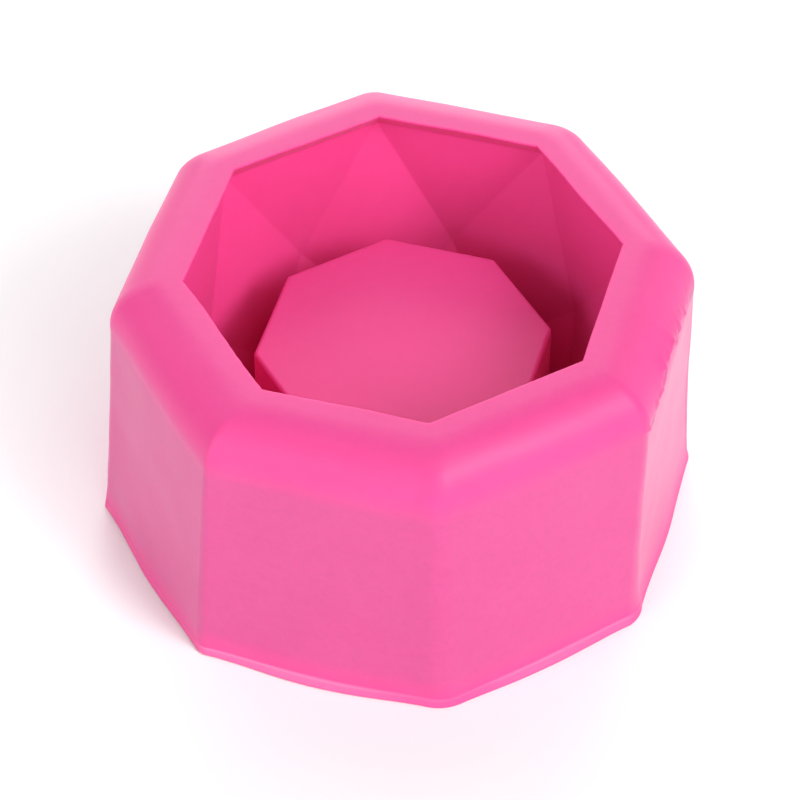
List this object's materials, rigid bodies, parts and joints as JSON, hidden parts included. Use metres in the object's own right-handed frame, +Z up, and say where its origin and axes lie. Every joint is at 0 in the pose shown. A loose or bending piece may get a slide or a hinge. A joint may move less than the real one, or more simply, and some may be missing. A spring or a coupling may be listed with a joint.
{
  "type": "resin casting mould",
  "caption": "Open octagonal silicone mould with a faceted cavity and an upright core, for casting a hollow pot or candle jar in resin, plaster or wax.",
  "frame": {"origin": "centre of the flat foot, on the surface it stands on", "axes": "+Z up out of the mouth, flats of the octagon facing +X, -X, +Y and -Y; -Y is the front"},
  "size_m": [0.1128, 0.1128, 0.06],
  "materials": {
    "silicone": "satin pink silicone rubber"
  },
  "bodies": {
    "mould": {"mould_body": "silicone"},
    "core": {"core_plug": "silicone"}
  },
  "joints": [
    {"name": "core_lift", "type": "slide", "parent": "mould", "child": "core", "axis": [0, 0, 1], "range_m": [0, 0.055]}
  ]
}
